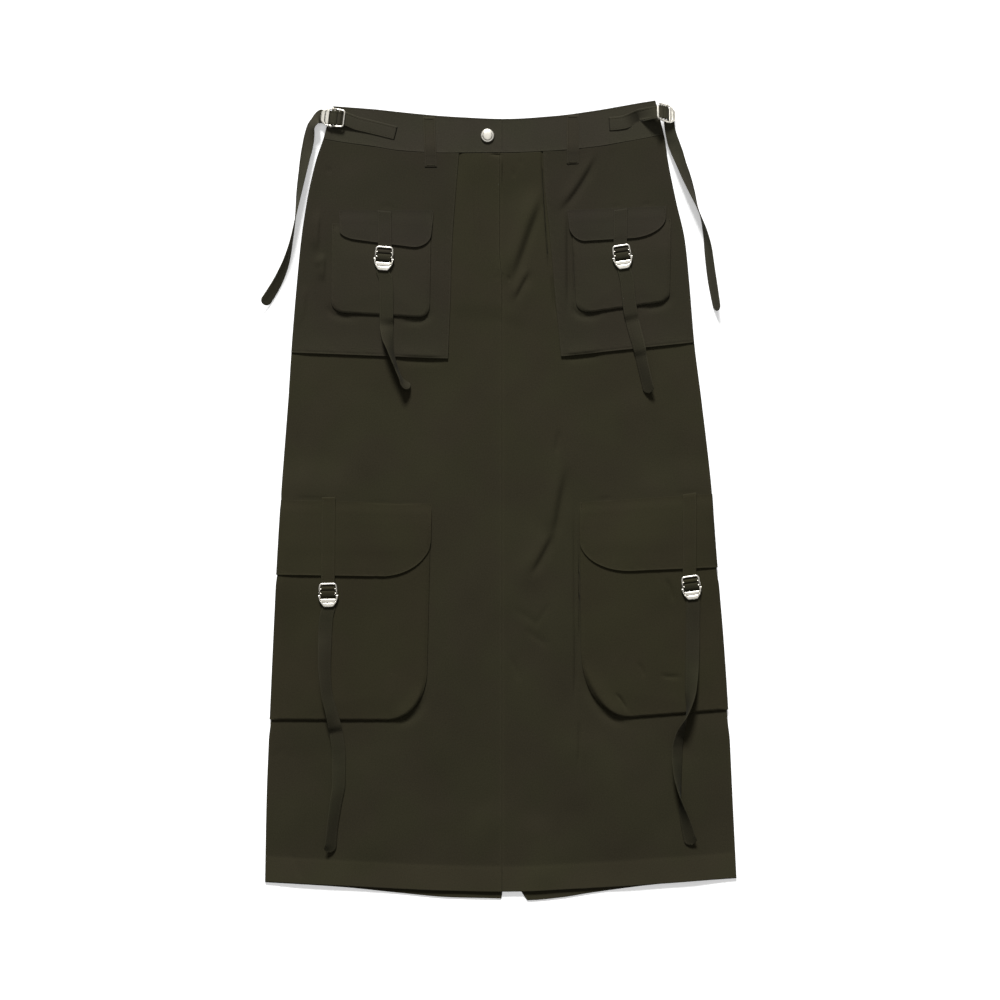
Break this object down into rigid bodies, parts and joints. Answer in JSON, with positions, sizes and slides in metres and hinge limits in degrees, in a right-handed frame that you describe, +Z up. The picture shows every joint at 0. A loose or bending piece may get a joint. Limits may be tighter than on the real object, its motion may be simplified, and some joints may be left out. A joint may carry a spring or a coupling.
{
  "type": "cargo utility skirt",
  "caption": "Long A-line cargo skirt laid flat, with a waistband, fly, hip patches, flapped cargo pockets, buckled straps with hanging tails, side adjusters and a back vent.",
  "frame": {"origin": "on the table under the middle of the skirt's box, so the flat underside lies at Z 0", "axes": "+Y towards the waist, +X to the right as the front is seen from above, +Z up off the table, out of the front"},
  "size_m": [0.57, 0.9605, 0.0268],
  "materials": {
    "cloth": "matt dark olive cotton twill",
    "webbing": "matt dark olive twill straps with stitched edges",
    "nickel": "bright nickel plating"
  },
  "bodies": {
    "root": {"back_panel_left": "cloth", "back_panel_right": "cloth", "waistband_back": "cloth", "front_panel_left": "cloth", "front_panel_right": "cloth", "fly_facing": "cloth", "waistband_front_left": "cloth", "waistband_front_right": "cloth", "upper_patch_left": "cloth", "upper_patch_right": "cloth", "upper_pocket_left": "cloth", "upper_pocket_right": "cloth", "upper_flap_left": "cloth", "upper_flap_right": "cloth", "lower_pocket_left": "cloth", "lower_pocket_right": "cloth", "lower_flap_left": "cloth", "lower_flap_right": "cloth", "belt_loop_left": "cloth", "belt_loop_right": "cloth", "upper_left_strap": "webbing", "upper_right_strap": "webbing", "lower_left_strap": "webbing", "lower_right_strap": "webbing", "side_left_adjuster": "webbing", "side_right_adjuster": "webbing", "upper_left_tail": "webbing", "upper_right_tail": "webbing", "lower_left_tail": "webbing", "lower_right_tail": "webbing", "side_left_tail": "webbing", "side_right_tail": "webbing", "upper_left_buckle_frame": "nickel", "upper_left_buckle_lever": "nickel", "upper_right_buckle_frame": "nickel", "upper_right_buckle_lever": "nickel", "lower_left_buckle_frame": "nickel", "lower_left_buckle_lever": "nickel", "lower_right_buckle_frame": "nickel", "lower_right_buckle_lever": "nickel", "side_left_buckle_frame": "nickel", "side_left_buckle_lever": "nickel", "side_right_buckle_frame": "nickel", "side_right_buckle_lever": "nickel", "button": "nickel"}
  },
  "joints": []
}
